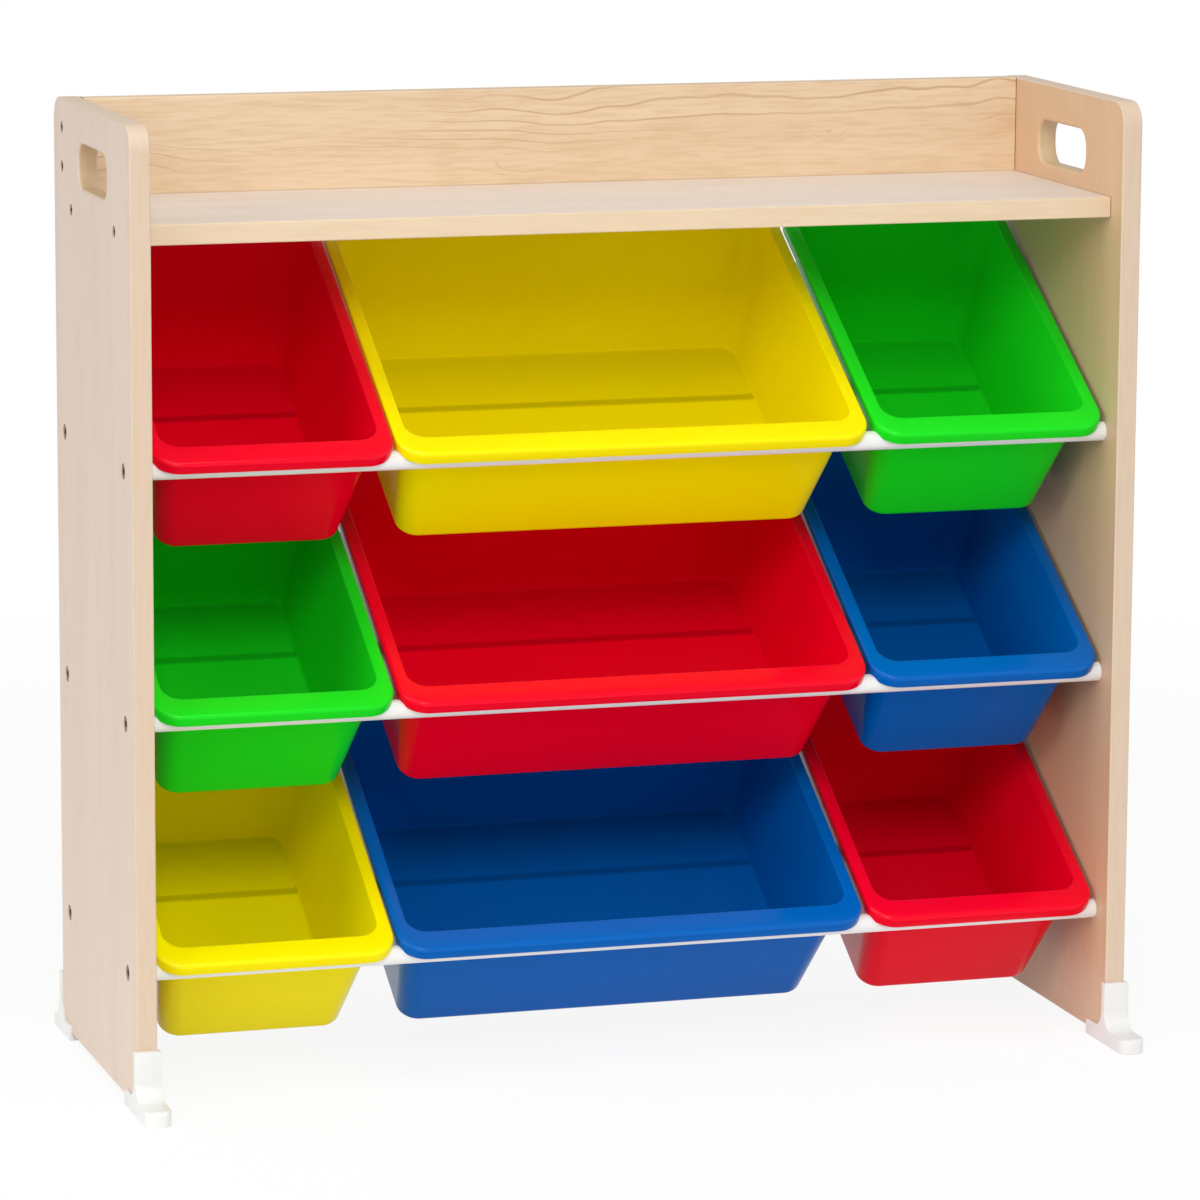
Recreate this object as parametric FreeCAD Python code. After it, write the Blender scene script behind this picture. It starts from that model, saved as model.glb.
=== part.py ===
import FreeCAD, Part
import math
import os

from FreeCAD import Vector

# Toy storage organizer: two side panels joined by a top shelf, a back board and three
# rows of paired rods, with nine tilted bins hung on the rods.
# Frame: +X to the right, +Y to the back, +Z up, origin on the floor under the middle.
# All sizes are in millimetres and degrees.

# ---- boards -----------------------------------------------------------------------
BOARD = 17.0                 # thickness of every board
PANEL_DEPTH = 285.0          # side panel, front edge to rear edge
PANEL_CORNER_R = 20.0        # rounded top corners of a side panel
EDGE_ROUND = 1.2             # eased long edges of the boards
BACK_BOARD_HEIGHT = 81.0     # above the shelf, flush with the panel tops
SHELF_FRONT_INSET = 24.0     # shelf edge behind the panels' front edges
SHELF_REAR_INSET = 23.0      # shelf and back board in front of the panels' rear edges

# ---- handle slots -------------------------------------------------------------------
HANDLE_LENGTH = 108.0
HANDLE_HEIGHT = 37.0
HANDLE_CORNER_R = 16.0
HANDLE_ABOVE_SHELF = 31.5    # slot's middle over the shelf's top face
HANDLE_FRONT_INSET = 84.0    # slot's front end behind the panel's front edge
HANDLE_EDGE_ROUND = 2.5

# ---- rods -----------------------------------------------------------------------------
ROD_DIAMETER = 16.0
ROD_WALL = 1.2
ROD_INSET = 31.5             # rod axes behind the front edge, and before the rear edge
ROW_PITCH = 206.0            # from one row of rods up to the next
FIRST_ROW_HEIGHT = 105.3     # lowest rod axes over the panels' lower edges
SHELF_OVER_TOP_ROW = 198.4   # shelf's top face over the highest rod axes
ROW_NAMES = ("bottom", "middle", "top")

# ---- bins -----------------------------------------------------------------------------
SMALL_BIN_WIDTH = 203.0
LARGE_BIN_WIDTH = 406.0
BIN_LENGTH = 312.0           # rim, front to rear along the slope
BIN_DEPTH = 123.0            # rim's top face to the floor's underside
BIN_WALL = 2.6
BIN_FLOOR = 2.8
RIM_THICKNESS = 3.0
RIM_RISE = 16.4              # rim's top face over the front rod's axis
RIM_SIDE_WIDTH = 11.0        # rim's top face at the sides and the rear
RIM_FRONT_WIDTH = 22.4       # rim's top face at the front, over the rod
RIM_CORNER_R = 24.0
MOUTH_CORNER_R = 17.0        # inner corners of the bin's mouth
FLOOR_CORNER_R = 15.0        # inner corners of the bin's floor
SKIRT_DEPTH = 10.5           # the rim's turned-down edge
SIDE_DRAFT = 16.0            # each side wall leans in by this much over the bin's depth
FRONT_DRAFT = 19.0
REAR_DRAFT = 33.0
BASE_EDGE_R = 6.0            # outer rounding between walls and floor
RIM_EDGE_R = 2.6             # rounded outer edge of the rim's top face
BIN_GAP = 3.5                # between neighbouring rims, and between rims and panels
MIDDLE_BIN_SHIFTS = {"bottom": -1.0, "middle": 0.0, "top": -2.0}

# ---- feet -----------------------------------------------------------------------------
FOOT_WALL = 2.5              # foot's side walls on the panel's faces
FRONT_FOOT_WALL = 5.0        # on the panel's front edge
REAR_FOOT_WALL = 3.0
FOOT_BASE = 5.5              # under the panel
FOOT_RISE = 47.0             # up the panel's edge
FRONT_TOE = 46.0             # toe beyond the panel's front edge
REAR_TOE = 32.0
FOOT_TOE_CORNER_R = 9.0
FRONT_FLARE_R = 15.0         # hollow curve from the upright face out to the toe
REAR_FLARE_R = 24.0
FRONT_TOE_HEIGHT = 7.1       # toe's upper face over the panel's lower edge
REAR_TOE_HEIGHT = 3.0
FOOT_NOSE_R = 4.0
FOOT_STRIP_HEIGHT = 7.5      # low part of the side walls
FOOT_STRIP_LENGTH = 36.5
FOOT_STRIP_R = 3.5
FOOT_SWEEP_R = 14.0          # curve between the upright and the low part

# ---- fasteners ------------------------------------------------------------------------
ROD_SCREW_R = 3.0
ROD_SCREW_HEAD_R = 6.4
ROD_SCREW_BITE = 16.0        # length inside the plug
PLUG_LENGTH = 22.0
BOARD_SCREW_R = 2.5
BOARD_SCREW_HEAD_R = 4.7
BOARD_SCREW_BITE = 33.0      # length inside the shelf or the back board
HEAD_THICKNESS = 3.0
HEAD_EDGE_R = 0.75
HEAD_SUNK = 0.4              # heads lie this far under the panel's face
SOCKET_DEPTH = 2.0
SOCKET_SHARE = 0.5           # hexagon's corner radius as a share of the head's radius
FOOT_SCREW_R = 1.8
FOOT_SCREW_HEAD_R = 3.4
FOOT_SCREW_HEAD = 2.0
FOOT_SCREW_BITE = 16.0
FOOT_SCREW_INSET = 20.0      # behind the panel's edge
SHELF_SCREW_INSETS = (34.0, 42.0)    # from the shelf's front and rear edges
BACK_SCREW_DROPS = (24.3, 56.5)      # under the back board's top edge

# ---- clearances -----------------------------------------------------------------------
SEAT_CLEARANCE = 0.3         # bins over and around the rods
FASTENER_CLEARANCE = 0.1     # radial, plugs in tubes and screws in holes
HEAD_CLEARANCE = 0.3         # radial, heads in their recesses

# ---- places that follow from the sizes ------------------------------------------------
INNER_WIDTH = 2 * SMALL_BIN_WIDTH + LARGE_BIN_WIDTH + 4 * BIN_GAP
INNER_X = INNER_WIDTH / 2
OUTER_X = INNER_X + BOARD
FRONT_Y = FRONT_TOE - (FRONT_TOE + PANEL_DEPTH + REAR_TOE) / 2
REAR_Y = FRONT_Y + PANEL_DEPTH
EDGE_Y = {-1: FRONT_Y, 1: REAR_Y}
PANEL_Z = FOOT_BASE
FRONT_ROD_Y = FRONT_Y + ROD_INSET
REAR_ROD_Y = REAR_Y - ROD_INSET
ROD_SPACING = REAR_ROD_Y - FRONT_ROD_Y
ROD_R = ROD_DIAMETER / 2
ROW_Z = {name: PANEL_Z + FIRST_ROW_HEIGHT + ROW_PITCH * i for i, name in enumerate(ROW_NAMES)}
SHELF_TOP = ROW_Z["top"] + SHELF_OVER_TOP_ROW
PANEL_TOP = SHELF_TOP + BACK_BOARD_HEIGHT
SHELF_FRONT_Y = FRONT_Y + SHELF_FRONT_INSET
SHELF_REAR_Y = REAR_Y - SHELF_REAR_INSET
PLUG_R = ROD_R - ROD_WALL - FASTENER_CLEARANCE

# A bin's own frame has its origin on the front rod's axis, Y up the slope and Z square to
# the rim. The side skirts sit on the front rod, the sloping front wall leans on it from
# behind, and the floor lies on the rear rod, which sets the tilt.
SEAT_R = ROD_R + SEAT_CLEARANCE
RIM_TOP = RIM_RISE
FRONT_SLOPE = FRONT_DRAFT / BIN_DEPTH
WALL_AT_AXIS = SEAT_R * math.hypot(1, FRONT_SLOPE)
RIM_FRONT = WALL_AT_AXIS - FRONT_SLOPE * RIM_TOP + BIN_WALL - RIM_FRONT_WIDTH
RIM_REAR = RIM_FRONT + BIN_LENGTH
FLOOR_LOW = RIM_TOP - BIN_DEPTH
BIN_TILT = math.degrees(math.asin((-FLOOR_LOW + SEAT_R) / ROD_SPACING))


def box(x0, x1, y0, y1, z0, z1):
    return Part.makeBox(x1 - x0, y1 - y0, z1 - z0, Vector(x0, y0, z0))


def cylinder(radius, start, direction, length):
    return Part.makeCylinder(radius, length, start, direction)


def rounded_rectangle(x0, x1, y0, y1, radius, z):
    """Closed wire at height z, with all four corners rounded."""
    radius = min(radius, (x1 - x0) / 2.001, (y1 - y0) / 2.001)
    corners = (
        (x1 - radius, y0 + radius, -90),
        (x1 - radius, y1 - radius, 0),
        (x0 + radius, y1 - radius, 90),
        (x0 + radius, y0 + radius, 180),
    )
    edges = []
    ends = []
    for cx, cy, start in corners:
        points = []
        for turn in (0, 45, 90):
            angle = math.radians(start + turn)
            points.append(Vector(cx + radius * math.cos(angle), cy + radius * math.sin(angle), z))
        ends.append((points[0], points[2]))
        edges.append(Part.Arc(*points).toShape())
    loop = []
    for i, edge in enumerate(edges):
        loop.append(edge)
        loop.append(Part.makeLine(ends[i][1], ends[(i + 1) % 4][0]))
    return Part.Wire(loop)


def side_profile(steps):
    """Closed face in the YZ plane from (y, z) points. A step of three pairs is an arc:
    it runs from the last point through the middle pair to the end pair."""
    points = [Vector(0, *steps[0])]
    edges = []
    for step in steps[1:]:
        if isinstance(step[0], tuple):
            through = Vector(0, *step[0])
            end = Vector(0, *step[1])
            edges.append(Part.Arc(points[-1], through, end).toShape())
        else:
            end = Vector(0, *step)
            edges.append(Part.makeLine(points[-1], end))
        points.append(end)
    edges.append(Part.makeLine(points[-1], points[0]))
    return Part.Face(Part.Wire(edges))


def quarter(cx, cz, radius, start, turn):
    """Middle and end of an arc about (cx, cz) from the angle start, turning by turn."""
    pair = []
    for share in (0.5, 1.0):
        angle = math.radians(start + turn * share)
        pair.append((cx + radius * math.cos(angle), cz + radius * math.sin(angle)))
    return tuple(pair)


def edges_where(shape, test):
    return [edge for edge in shape.Edges if test(edge)]


def lies_at_x(edge, x):
    box_of = edge.BoundBox
    return abs(box_of.XMin - x) < 0.01 and abs(box_of.XMax - x) < 0.01


def cut_all(shape, tools):
    for tool in tools:
        shape = shape.cut(tool)
    return shape


def group(shapes):
    return Part.makeCompound(shapes)


# ---- places of the fasteners ----------------------------------------------------------

def rod_axes():
    """(y, z) of all six rods."""
    return [(y, ROW_Z[row]) for row in ROW_NAMES for y in (FRONT_ROD_Y, REAR_ROD_Y)]


def shelf_screw_axes():
    z = SHELF_TOP - BOARD / 2
    return [(SHELF_FRONT_Y + SHELF_SCREW_INSETS[0], z), (SHELF_REAR_Y - SHELF_SCREW_INSETS[1], z)]


def back_screw_axes():
    y = SHELF_REAR_Y - BOARD / 2
    return [(y, PANEL_TOP - drop) for drop in BACK_SCREW_DROPS]


def foot_screw_places():
    """(x, y) of the four foot screws."""
    x = INNER_X + BOARD / 2
    return [
        (side * x, EDGE_Y[end] - end * FOOT_SCREW_INSET) for side in (-1, 1) for end in (-1, 1)]


def screw_hole(side, y, z, shank, head):
    """What a recessed screw takes out of a side panel."""
    face = Vector(side * OUTER_X, y, z)
    inward = Vector(-side, 0, 0)
    recess = cylinder(head + HEAD_CLEARANCE, face, inward, HEAD_THICKNESS + HEAD_SUNK)
    return recess.fuse(cylinder(shank + FASTENER_CLEARANCE, face, inward, BOARD))


def screw(side, y, z, shank, head, bite):
    """Round-headed screw with a hexagonal socket, from outside a panel inwards."""
    inward = Vector(-side, 0, 0)
    top = Vector(side * (OUTER_X - HEAD_SUNK), y, z)
    body = cylinder(head, top, inward, HEAD_THICKNESS)
    rim = [e for e in body.Edges if lies_at_x(e, top.x) and e.Closed]
    body = body.makeFillet(HEAD_EDGE_R, rim)
    body = body.fuse(cylinder(shank, top, inward, BOARD - HEAD_SUNK + bite))
    corners = []
    for i in range(6):
        angle = math.radians(60 * i)
        reach = head * SOCKET_SHARE
        corners.append(top + Vector(0, reach * math.cos(angle), reach * math.sin(angle)))
    hexagon = Part.Face(Part.makePolygon(corners + corners[:1]))
    return body.cut(hexagon.extrude(inward * SOCKET_DEPTH))


# ---- boards ---------------------------------------------------------------------------

def side_panel(side):
    radius = PANEL_CORNER_R
    outline = side_profile([
        (FRONT_Y, PANEL_Z),
        (REAR_Y, PANEL_Z),
        (REAR_Y, PANEL_TOP - radius),
        quarter(REAR_Y - radius, PANEL_TOP - radius, radius, 0, 90),
        (FRONT_Y + radius, PANEL_TOP),
        quarter(FRONT_Y + radius, PANEL_TOP - radius, radius, 90, 90),
    ])
    panel = outline.extrude(Vector(side * BOARD, 0, 0))
    panel.translate(Vector(side * INNER_X, 0, 0))
    panel = panel.makeFillet(EDGE_ROUND, edges_where(panel, lies_on_a_panel_face))

    middle = SHELF_TOP + HANDLE_ABOVE_SHELF
    front = FRONT_Y + HANDLE_FRONT_INSET
    slot = Part.Face(rounded_rectangle(
        middle - HANDLE_HEIGHT / 2, middle + HANDLE_HEIGHT / 2,
        front, front + HANDLE_LENGTH, HANDLE_CORNER_R, 0))
    slot.rotate(Vector(0, 0, 0), Vector(0, 1, 0), -90)
    slot = slot.extrude(Vector(side * BOARD, 0, 0))
    slot.translate(Vector(side * INNER_X, 0, 0))
    panel = panel.cut(slot)
    panel = panel.makeFillet(HANDLE_EDGE_ROUND, edges_where(panel, lies_on_the_handle_rim))

    holes = [screw_hole(side, y, z, ROD_SCREW_R, ROD_SCREW_HEAD_R) for y, z in rod_axes()]
    for y, z in shelf_screw_axes() + back_screw_axes():
        holes.append(screw_hole(side, y, z, BOARD_SCREW_R, BOARD_SCREW_HEAD_R))
    for x, y in foot_screw_places():
        bore = FOOT_SCREW_R + FASTENER_CLEARANCE
        holes.append(cylinder(bore, Vector(x, y, PANEL_Z), Vector(0, 0, 1), FOOT_SCREW_BITE))
    return cut_all(panel, holes)


def lies_on_a_panel_face(edge):
    x = abs(edge.BoundBox.XMin)
    flat = edge.BoundBox.XLength < 0.01
    return flat and (abs(x - INNER_X) < 0.01 or abs(x - OUTER_X) < 0.01)


def lies_on_the_handle_rim(edge):
    box_of = edge.BoundBox
    middle = SHELF_TOP + HANDLE_ABOVE_SHELF
    near = abs(box_of.Center.z - middle) < HANDLE_HEIGHT / 2 + 0.1
    front = FRONT_Y + HANDLE_FRONT_INSET
    inside = front - 0.1 < box_of.YMin and box_of.YMax < front + HANDLE_LENGTH + 0.1
    return near and inside and lies_on_a_panel_face(edge)


def lies_along_x(edge):
    return edge.BoundBox.XLength > INNER_WIDTH - 0.1


def top_shelf():
    shelf = box(-INNER_X, INNER_X, SHELF_FRONT_Y, SHELF_REAR_Y, SHELF_TOP - BOARD, SHELF_TOP)
    front_edges = edges_where(
        shelf, lambda e: lies_along_x(e) and abs(e.BoundBox.YMin - SHELF_FRONT_Y) < 0.01)
    shelf = shelf.makeFillet(EDGE_ROUND, front_edges)
    return cut_all(shelf, pilot_holes(shelf_screw_axes()))


def back_board():
    front = SHELF_REAR_Y - BOARD
    board = box(-INNER_X, INNER_X, front, SHELF_REAR_Y, SHELF_TOP, PANEL_TOP)
    top_edges = edges_where(
        board, lambda e: lies_along_x(e) and abs(e.BoundBox.ZMin - PANEL_TOP) < 0.01)
    board = board.makeFillet(EDGE_ROUND, top_edges)
    return cut_all(board, pilot_holes(back_screw_axes()))


def pilot_holes(axes):
    """Blind holes in both ends of a board between the panels."""
    bore = BOARD_SCREW_R + FASTENER_CLEARANCE
    holes = []
    for side in (-1, 1):
        for y, z in axes:
            start = Vector(side * INNER_X, y, z)
            holes.append(cylinder(bore, start, Vector(-side, 0, 0), BOARD_SCREW_BITE))
    return holes


# ---- rods -----------------------------------------------------------------------------

def rod(y, z):
    start = Vector(-INNER_X, y, z)
    along = Vector(1, 0, 0)
    tube = cylinder(ROD_R, start, along, INNER_WIDTH)
    return tube.cut(cylinder(ROD_R - ROD_WALL, start, along, INNER_WIDTH))


def rod_end_plugs():
    plugs = []
    for side in (-1, 1):
        for y, z in rod_axes():
            start = Vector(side * INNER_X, y, z)
            inward = Vector(-side, 0, 0)
            plug = cylinder(PLUG_R, start, inward, PLUG_LENGTH)
            bore = cylinder(ROD_SCREW_R + FASTENER_CLEARANCE, start, inward, PLUG_LENGTH)
            plugs.append(plug.cut(bore))
    return group(plugs)


def panel_screws(axes, shank, head, bite):
    return group([screw(side, y, z, shank, head, bite) for side in (-1, 1) for y, z in axes])


# ---- feet -----------------------------------------------------------------------------

def foot(side, end):
    """Cap on one lower corner of a panel. It is drawn for the front end, with y measured
    back from the panel's edge and z up from the panel's lower edge, and then turned."""
    toe = FRONT_TOE if end < 0 else REAR_TOE
    toe_height = FRONT_TOE_HEIGHT if end < 0 else REAR_TOE_HEIGHT
    wall = FRONT_FOOT_WALL if end < 0 else REAR_FOOT_WALL
    flare = FRONT_FLARE_R if end < 0 else REAR_FLARE_R
    nose_y = FOOT_NOSE_R - toe
    sweep_y = FOOT_WALL + FOOT_SWEEP_R
    sweep_z = FOOT_STRIP_HEIGHT + FOOT_SWEEP_R
    strip_y = FOOT_STRIP_LENGTH - FOOT_STRIP_R
    profile = side_profile([
        (-wall, FOOT_RISE),
        (FOOT_WALL, FOOT_RISE),
        (FOOT_WALL, sweep_z),
        quarter(sweep_y, sweep_z, FOOT_SWEEP_R, 180, 90),
        (strip_y, FOOT_STRIP_HEIGHT),
        quarter(strip_y, FOOT_STRIP_HEIGHT - FOOT_STRIP_R, FOOT_STRIP_R, 90, -90),
        (FOOT_STRIP_LENGTH, -FOOT_BASE),
        (-toe, -FOOT_BASE),
        (-toe, toe_height - FOOT_NOSE_R),
        quarter(nose_y, toe_height - FOOT_NOSE_R, FOOT_NOSE_R, 180, -90),
        (-wall - flare, toe_height),
        quarter(-wall - flare, toe_height + flare, flare, -90, 90),
    ])
    half = BOARD / 2 + FOOT_WALL
    block = profile.extrude(Vector(2 * half, 0, 0))
    block.translate(Vector(-half, 0, 0))
    plan = Part.Face(rounded_rectangle(
        -half, half, -toe, FOOT_STRIP_LENGTH + toe, FOOT_TOE_CORNER_R, -FOOT_BASE))
    block = block.common(plan.extrude(Vector(0, 0, FOOT_BASE + FOOT_RISE)))
    block = block.cut(box(-BOARD / 2, BOARD / 2, 0, PANEL_DEPTH, 0, FOOT_RISE + BOARD))

    screw_y = FOOT_SCREW_INSET
    below = Vector(0, screw_y, -FOOT_BASE)
    up = Vector(0, 0, 1)
    block = block.cut(cylinder(FOOT_SCREW_R + FASTENER_CLEARANCE, below, up, FOOT_BASE))
    recess = FOOT_SCREW_HEAD + HEAD_SUNK
    block = block.cut(cylinder(FOOT_SCREW_HEAD_R + HEAD_CLEARANCE, below, up, recess))
    if end > 0:
        block.rotate(Vector(0, 0, 0), up, 180)
    block.translate(Vector(side * (INNER_X + BOARD / 2), EDGE_Y[end], PANEL_Z))
    return block


def foot_screws():
    up = Vector(0, 0, 1)
    screws = []
    for x, y in foot_screw_places():
        start = Vector(x, y, HEAD_SUNK)
        head = cylinder(FOOT_SCREW_HEAD_R, start, up, FOOT_SCREW_HEAD)
        shank = cylinder(FOOT_SCREW_R, start, up, PANEL_Z - HEAD_SUNK + FOOT_SCREW_BITE)
        screws.append(head.fuse(shank))
    return group(screws)


# ---- bins -----------------------------------------------------------------------------

def tub(width, shrink, low, high):
    """Tapered solid with the bin's outer walls moved in by shrink, from z low to z high."""
    wires = []
    for z in (low, high):
        share = (RIM_TOP - z) / BIN_DEPTH
        half = width / 2 - RIM_SIDE_WIDTH + BIN_WALL - SIDE_DRAFT * share - shrink
        front = RIM_FRONT + RIM_FRONT_WIDTH - BIN_WALL + FRONT_DRAFT * share + shrink
        rear = RIM_REAR - RIM_SIDE_WIDTH + BIN_WALL - REAR_DRAFT * share - shrink
        radius = MOUTH_CORNER_R + (FLOOR_CORNER_R - MOUTH_CORNER_R) * share + BIN_WALL - shrink
        wires.append(rounded_rectangle(-half, half, front, rear, radius, z))
    return Part.makeLoft(wires, True, True)


def round_low_edges(shape, low, radius):
    return shape.makeFillet(radius, edges_where(shape, lambda e: e.BoundBox.ZMax < low + 0.01))


def bin_shell(width):
    """One bin in its own frame."""
    half = width / 2
    outer = round_low_edges(tub(width, 0, FLOOR_LOW, RIM_TOP), FLOOR_LOW, BASE_EDGE_R)
    floor_top = FLOOR_LOW + BIN_FLOOR
    inner = tub(width, BIN_WALL, floor_top, RIM_TOP + BIN_WALL)
    inner = round_low_edges(inner, floor_top, BASE_EDGE_R - BIN_WALL)

    skirt_low = RIM_TOP - SKIRT_DEPTH
    rim = Part.Face(rounded_rectangle(-half, half, RIM_FRONT, RIM_REAR, RIM_CORNER_R, skirt_low))
    rim = rim.extrude(Vector(0, 0, SKIRT_DEPTH))
    top_edges = edges_where(rim, lambda e: e.BoundBox.ZMin > RIM_TOP - 0.01)
    rim = rim.makeFillet(RIM_EDGE_R, top_edges)
    hollow = Part.Face(rounded_rectangle(
        -half + BIN_WALL, half - BIN_WALL, RIM_FRONT + BIN_WALL, RIM_REAR - BIN_WALL,
        RIM_CORNER_R - BIN_WALL, skirt_low))
    rim = rim.cut(hollow.extrude(Vector(0, 0, SKIRT_DEPTH - RIM_THICKNESS)))
    rim = rim.cut(cylinder(SEAT_R, Vector(-half, 0, 0), Vector(1, 0, 0), width))
    return rim.fuse(outer).cut(inner).removeSplitter()


def bin_place(row, column):
    """X of a bin's middle; columns are -1, 0 and 1."""
    if column == 0:
        return MIDDLE_BIN_SHIFTS[row]
    return column * (INNER_X - BIN_GAP - SMALL_BIN_WIDTH / 2)


def placed_bin(row, column):
    width = LARGE_BIN_WIDTH if column == 0 else SMALL_BIN_WIDTH
    shell = bin_shell(width)
    shell.rotate(Vector(0, 0, 0), Vector(1, 0, 0), BIN_TILT)
    shell.translate(Vector(bin_place(row, column), FRONT_ROD_Y, ROW_Z[row]))
    return shell


# ---- the whole part -------------------------------------------------------------------

def all_nodes():
    nodes = {
        "left_side_panel": side_panel(-1),
        "right_side_panel": side_panel(1),
        "top_shelf": top_shelf(),
        "back_board": back_board(),
        "rod_end_plugs": rod_end_plugs(),
        "rod_screws": panel_screws(rod_axes(), ROD_SCREW_R, ROD_SCREW_HEAD_R, ROD_SCREW_BITE),
        "shelf_screws": panel_screws(
            shelf_screw_axes(), BOARD_SCREW_R, BOARD_SCREW_HEAD_R, BOARD_SCREW_BITE),
        "back_board_screws": panel_screws(
            back_screw_axes(), BOARD_SCREW_R, BOARD_SCREW_HEAD_R, BOARD_SCREW_BITE),
        "foot_screws": foot_screws(),
    }
    for row in ROW_NAMES:
        nodes["front_rod_" + row] = rod(FRONT_ROD_Y, ROW_Z[row])
        nodes["rear_rod_" + row] = rod(REAR_ROD_Y, ROW_Z[row])
        for column, side in ((-1, "left"), (0, "middle"), (1, "right")):
            nodes["bin_" + row + "_" + side] = placed_bin(row, column)
    for side, side_name in ((-1, "left"), (1, "right")):
        for end, end_name in ((-1, "front"), (1, "rear")):
            nodes["foot_" + end_name + "_" + side_name] = foot(side, end)
    return nodes


os.makedirs("parts", exist_ok=True)
for name, shape in all_nodes().items():
    assert shape.isValid(), name
    shape.exportStep(os.path.join("parts", name + ".step"))
    print(name, len(shape.Solids), round(shape.Volume / 1000, 1), "cm3")
print("tilt", round(BIN_TILT, 2), "inner width", INNER_WIDTH, "top", PANEL_TOP)
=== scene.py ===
import math

import bmesh
import bpy
from bpy.props import FloatProperty, FloatVectorProperty, IntProperty, PointerProperty
from bpy.types import Operator, Panel, PropertyGroup
from mathutils import Matrix, Vector


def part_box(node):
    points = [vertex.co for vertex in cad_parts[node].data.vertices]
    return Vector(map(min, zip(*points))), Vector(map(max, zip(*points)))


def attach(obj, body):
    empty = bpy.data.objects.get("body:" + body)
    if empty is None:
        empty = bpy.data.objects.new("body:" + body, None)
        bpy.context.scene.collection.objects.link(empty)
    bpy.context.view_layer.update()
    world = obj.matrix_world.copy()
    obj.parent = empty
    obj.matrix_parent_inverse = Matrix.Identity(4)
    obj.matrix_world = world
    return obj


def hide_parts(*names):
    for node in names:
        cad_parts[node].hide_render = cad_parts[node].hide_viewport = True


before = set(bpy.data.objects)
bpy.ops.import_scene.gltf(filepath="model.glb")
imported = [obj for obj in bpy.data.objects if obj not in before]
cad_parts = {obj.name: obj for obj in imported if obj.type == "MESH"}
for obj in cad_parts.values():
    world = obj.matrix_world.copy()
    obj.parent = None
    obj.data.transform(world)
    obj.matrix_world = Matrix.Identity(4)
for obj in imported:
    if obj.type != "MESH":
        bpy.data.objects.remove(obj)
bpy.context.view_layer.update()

bl_info = {
    "name": "Toy Storage Organizer",
    "version": (1, 0, 0),
    "blender": (4, 5, 0),
    "location": "3D View > Sidebar > Organizer",
    "description": "Dresses a toy storage organizer: maple boards, white rods and feet, tilted bins",
    "category": "Object",
}

MILLIMETRE = 0.001

# Rows of bins from the floor upwards, and the colour of the bin in each row and column.
ROWS = ("bottom", "middle", "top")
BIN_COLOURS = {
    ("top", "left"): "red",
    ("top", "middle"): "yellow",
    ("top", "right"): "green",
    ("middle", "left"): "green",
    ("middle", "middle"): "red",
    ("middle", "right"): "blue",
    ("bottom", "left"): "yellow",
    ("bottom", "middle"): "blue",
    ("bottom", "right"): "red",
}


def middle_of(node):
    low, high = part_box(node)
    return (Vector(low) + Vector(high)) / 2


def size_of(node):
    low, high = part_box(node)
    return Vector(high) - Vector(low)


# ---- sizes and colours that a user may change -------------------------------------------

def length(name, description, millimetres):
    return FloatProperty(
        name=name, description=description, default=millimetres * MILLIMETRE,
        min=0.0, unit="LENGTH", precision=4)


def colour(name, description, value):
    return FloatVectorProperty(
        name=name, description=description, default=value, size=3,
        min=0.0, max=1.0, subtype="COLOR")


def share(name, description, value):
    return FloatProperty(name=name, description=description, default=value, min=0.0, soft_max=1.0)


class BinSettings(PropertyGroup):
    """Sizes and colours of the bins"""
    small_width: length("Small width", "Width over the rim of a small bin", 203.0)
    large_width: length("Large width", "Width over the rim of a large bin", 406.0)
    rim_length: length("Length", "Rim from front to rear", 312.0)
    rim_rise: length("Rim rise", "Rim's top face over the front rod's axis", 16.4)
    depth: length("Depth", "Rim's top face to the floor's underside", 123.0)
    wall: length("Wall", "Thickness of the walls", 2.6)
    floor: length("Floor", "Thickness of the floor", 2.8)
    rim_thickness: length("Rim thickness", "Thickness of the rim's flat face", 3.0)
    rim_side: length("Rim at the sides", "Width of the rim's face at the sides and the rear", 11.0)
    rim_front: length("Rim at the front", "Width of the rim's face over the front rod", 22.4)
    rim_corner: length("Rim corner", "Outer corner radius of the rim", 24.0)
    mouth_corner: length("Mouth corner", "Inner corner radius at the rim", 17.0)
    floor_corner: length("Floor corner", "Inner corner radius at the floor", 15.0)
    skirt: length("Skirt", "Depth of the rim's turned-down edge", 10.5)
    side_draft: length("Side draft", "How far a side wall leans in over the depth", 16.0)
    front_draft: length("Front draft", "How far the front wall leans in over the depth", 19.0)
    rear_draft: length("Rear draft", "How far the rear wall leans in over the depth", 33.0)
    base_edge: length("Base edge", "Outer rounding between walls and floor", 6.0)
    rim_edge: length("Rim edge", "Rounding of the rim's outer edge", 2.6)
    mouth_edge: length("Mouth edge", "Rounding of the rim's inner edge", 1.1)
    crown: length("Crown", "Fall of the rim's face from the mouth to its outer edge", 0.2)
    seat: length("Seat", "Clearance over and around the rods", 0.3)
    gloss: share("Roughness", "Roughness of the polypropylene", 0.22)
    shine: share("Shine", "Strength of the polypropylene's reflections", 0.10)
    # Strength and width of the rear rod's shadow, painted into the base colour of the bins' floors.
    rod_shadow: share("Rod shadow", "How dark the rear rod shows through the floor", 0.38)
    rod_shadow_width: length("Rod shadow width", "Width of the rod's shadow on the floor", 11.0)
    rim_polish: share("Rim polish", "Strength of the rim's clear skin", 0.30)
    corner_steps: IntProperty(
        name="Corner steps", description="Faces round each corner", default=10, min=3, max=24)
    red: colour("Red", "Red polypropylene", (0.88, 0.0, 0.018))
    yellow: colour("Yellow", "Yellow polypropylene", (1.0, 0.83, 0.0))
    green: colour("Green", "Green polypropylene", (0.010, 0.73, 0.014))
    blue: colour("Blue", "Blue polypropylene", (0.0, 0.118, 0.48))


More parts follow.
